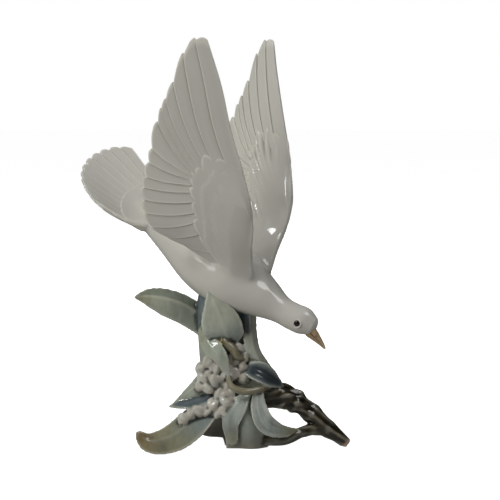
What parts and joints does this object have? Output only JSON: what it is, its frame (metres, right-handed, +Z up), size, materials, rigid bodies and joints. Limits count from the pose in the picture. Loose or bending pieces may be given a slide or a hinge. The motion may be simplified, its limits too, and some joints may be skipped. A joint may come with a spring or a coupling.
{
  "type": "dove statue",
  "caption": "Glazed porcelain figure of a white dove landing with raised, spread wings on a leafy stump with blossom and a branch.",
  "frame": {"origin": "middle of the figure's outline, on the surface that it stands on", "axes": "+Z up, +X towards the side that the head and the branch are on, -Y towards the viewer of the pictured side"},
  "size_m": [0.1974, 0.1296, 0.2954],
  "materials": {
    "glazed_porcelain": "glossy clear glaze over white, green, slate and brown underglaze colours"
  },
  "bodies": {
    "root": {"dove_statue": "glazed_porcelain"}
  },
  "joints": []
}
